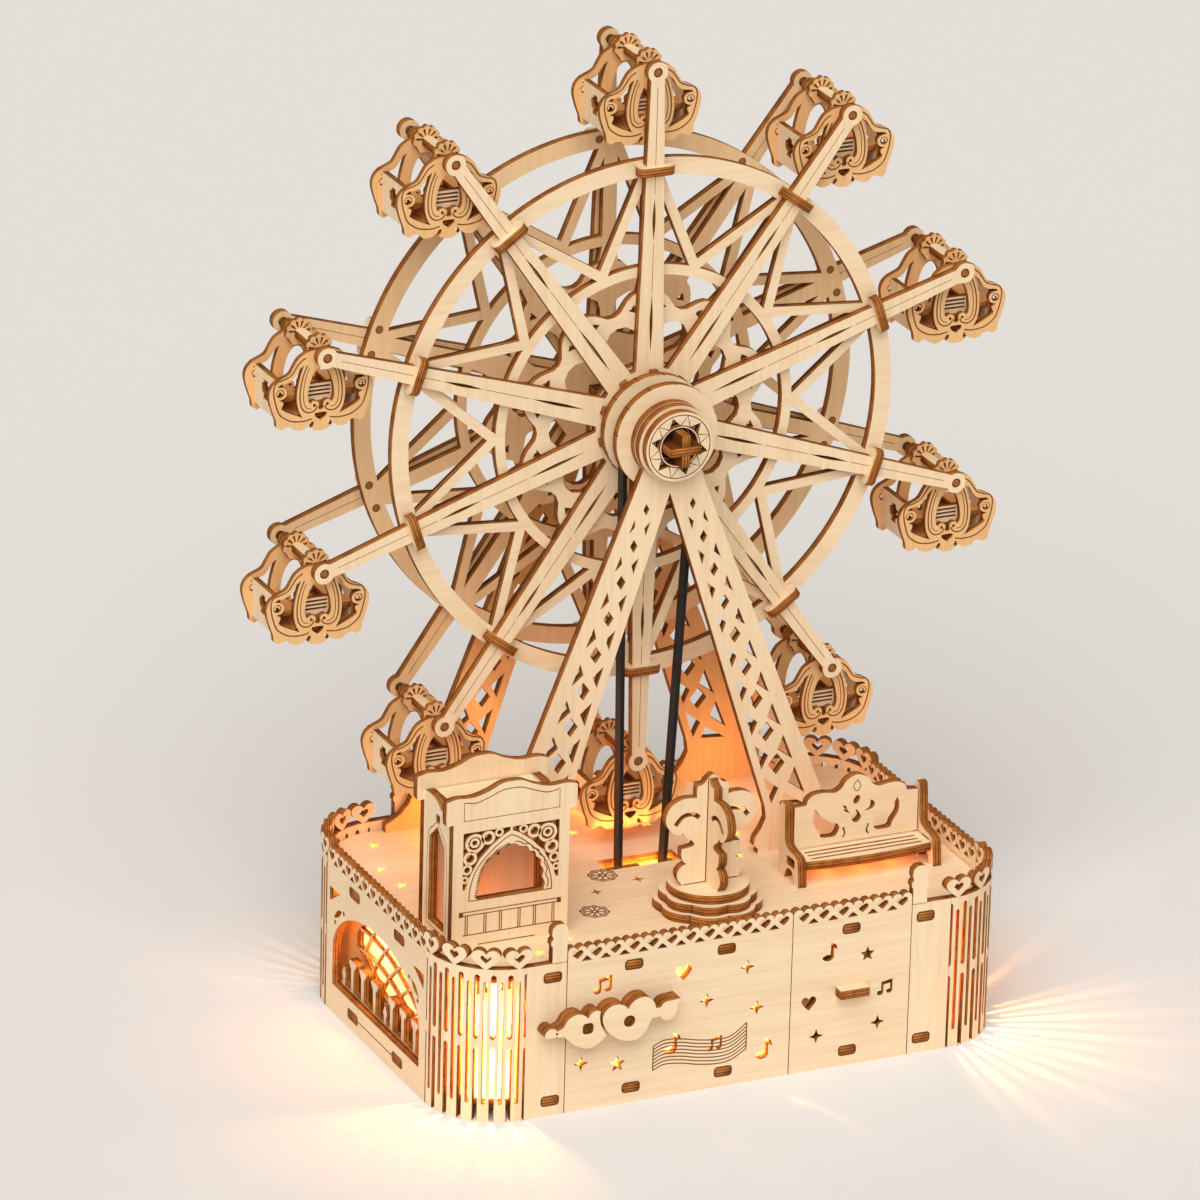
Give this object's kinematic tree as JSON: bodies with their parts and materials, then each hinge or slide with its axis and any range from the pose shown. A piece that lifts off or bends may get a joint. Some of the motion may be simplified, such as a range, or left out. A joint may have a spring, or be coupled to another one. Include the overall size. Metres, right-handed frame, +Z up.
{
  "type": "wooden ferris wheel music box",
  "caption": "Plywood ferris wheel with hanging cabins on a rounded base with arched side windows, a small kiosk, fountain, bench and front drawer; a belt from the base turns it.",
  "frame": {"origin": "on the table, at the middle of the base and straight below the axle", "axes": "+Z up, +X to the right of the front that holds the drawer, +Y to the back along the axle"},
  "size_m": [0.2602, 0.1418, 0.3227],
  "materials": {
    "plywood": "bare laser-cut birch plywood, pale faces and scorched brown edges",
    "belt_rubber": "matt black flat belt",
    "black_plastic": "matt moulded plastic",
    "white_plastic": "matt moulded plastic",
    "circuit_board": "satin circuit board",
    "lamp": "warm lamp on a thin post"
  },
  "bodies": {
    "base": {"front_pylon": "plywood", "rear_pylon": "plywood", "front_bearing_cap": "plywood", "rear_bearing_cap": "plywood", "floor_board": "plywood", "deck_board": "plywood", "left_wrap_panel": "plywood", "right_wrap_panel": "plywood", "front_panel": "plywood", "back_panel": "plywood", "left_balustrade": "plywood", "right_balustrade": "plywood", "left_window": "plywood", "right_window": "plywood", "kiosk_front": "plywood", "kiosk_walls": "plywood", "kiosk_roof": "plywood", "bench_left_side": "plywood", "bench_right_side": "plywood", "bench_back": "plywood", "bench_seat": "plywood", "fountain_lower_step": "plywood", "fountain_middle_step": "plywood", "fountain_upper_step": "plywood", "fountain_front_plate": "plywood", "fountain_side_plate": "plywood", "left_heart": "plywood", "right_heart": "plywood", "motor_bracket": "plywood", "gear_motor": "black_plastic", "sound_board": "circuit_board", "speaker": "black_plastic", "battery_box": "black_plastic", "left_lamp": "lamp", "right_lamp": "lamp", "drive_belt": "belt_rubber"},
    "wheel": {"axle": "plywood", "belt_pulley": "plywood", "front_spokes": "plywood", "front_rim": "plywood", "rear_spokes": "plywood", "rear_rim": "plywood"},
    "drive_pulley": {"drive_pulley": "white_plastic"},
    "drawer": {"drawer_tray": "plywood", "drawer_front": "plywood", "drawer_handle": "plywood"},
    "power_switch": {"power_switch": "black_plastic"},
    "cabin_01": {"cabin_01": "plywood"},
    "cabin_02": {"cabin_02": "plywood"},
    "cabin_03": {"cabin_03": "plywood"},
    "cabin_04": {"cabin_04": "plywood"},
    "cabin_05": {"cabin_05": "plywood"},
    "cabin_06": {"cabin_06": "plywood"},
    "cabin_07": {"cabin_07": "plywood"},
    "cabin_08": {"cabin_08": "plywood"},
    "cabin_09": {"cabin_09": "plywood"},
    "cabin_10": {"cabin_10": "plywood"}
  },
  "joints": [
    {"name": "wheel_spin", "type": "hinge", "parent": "base", "child": "wheel", "pos_m": [0, 0, 0.199], "axis": [0, 1, 0], "continuous": true},
    {"name": "cabin_01_swing", "type": "hinge", "parent": "wheel", "child": "cabin_01", "pos_m": [0, 0.0316, 0.317], "axis": [0, 1, 0], "continuous": true},
    {"name": "cabin_02_swing", "type": "hinge", "parent": "wheel", "child": "cabin_02", "pos_m": [0.06936, 0.0316, 0.29446], "axis": [0, 1, 0], "continuous": true},
    {"name": "cabin_03_swing", "type": "hinge", "parent": "wheel", "child": "cabin_03", "pos_m": [0.11223, 0.0316, 0.23546], "axis": [0, 1, 0], "continuous": true},
    {"name": "cabin_04_swing", "type": "hinge", "parent": "wheel", "child": "cabin_04", "pos_m": [0.11223, 0.0316, 0.16254], "axis": [0, 1, 0], "continuous": true},
    {"name": "cabin_05_swing", "type": "hinge", "parent": "wheel", "child": "cabin_05", "pos_m": [0.06936, 0.0316, 0.10354], "axis": [0, 1, 0], "continuous": true},
    {"name": "cabin_06_swing", "type": "hinge", "parent": "wheel", "child": "cabin_06", "pos_m": [0, 0.0316, 0.081], "axis": [0, 1, 0], "continuous": true},
    {"name": "cabin_07_swing", "type": "hinge", "parent": "wheel", "child": "cabin_07", "pos_m": [-0.06936, 0.0316, 0.10354], "axis": [0, 1, 0], "continuous": true},
    {"name": "cabin_08_swing", "type": "hinge", "parent": "wheel", "child": "cabin_08", "pos_m": [-0.11223, 0.0316, 0.16254], "axis": [0, 1, 0], "continuous": true},
    {"name": "cabin_09_swing", "type": "hinge", "parent": "wheel", "child": "cabin_09", "pos_m": [-0.11223, 0.0316, 0.23546], "axis": [0, 1, 0], "continuous": true},
    {"name": "cabin_10_swing", "type": "hinge", "parent": "wheel", "child": "cabin_10", "pos_m": [-0.06936, 0.0316, 0.29446], "axis": [0, 1, 0], "continuous": true},
    {"name": "drive_pulley_spin", "type": "hinge", "parent": "base", "child": "drive_pulley", "pos_m": [-0.0026, 0.0075, 0.024], "axis": [0, 1, 0], "continuous": true},
    {"name": "drawer_slide", "type": "slide", "parent": "base", "child": "drawer", "axis": [0, -1, 0], "range_m": [0, 0.045]},
    {"name": "switch_slide", "type": "slide", "parent": "base", "child": "power_switch", "axis": [1, 0, 0], "range_m": [0, 0.004]}
  ],
  "couplings": [
    {"joint": "cabin_01_swing", "follows": "wheel_spin", "ratio": -1},
    {"joint": "cabin_02_swing", "follows": "wheel_spin", "ratio": -1},
    {"joint": "cabin_03_swing", "follows": "wheel_spin", "ratio": -1},
    {"joint": "cabin_04_swing", "follows": "wheel_spin", "ratio": -1},
    {"joint": "cabin_05_swing", "follows": "wheel_spin", "ratio": -1},
    {"joint": "cabin_06_swing", "follows": "wheel_spin", "ratio": -1},
    {"joint": "cabin_07_swing", "follows": "wheel_spin", "ratio": -1},
    {"joint": "cabin_08_swing", "follows": "wheel_spin", "ratio": -1},
    {"joint": "cabin_09_swing", "follows": "wheel_spin", "ratio": -1},
    {"joint": "cabin_10_swing", "follows": "wheel_spin", "ratio": -1},
    {"joint": "drive_pulley_spin", "follows": "wheel_spin", "ratio": 1.7639}
  ]
}
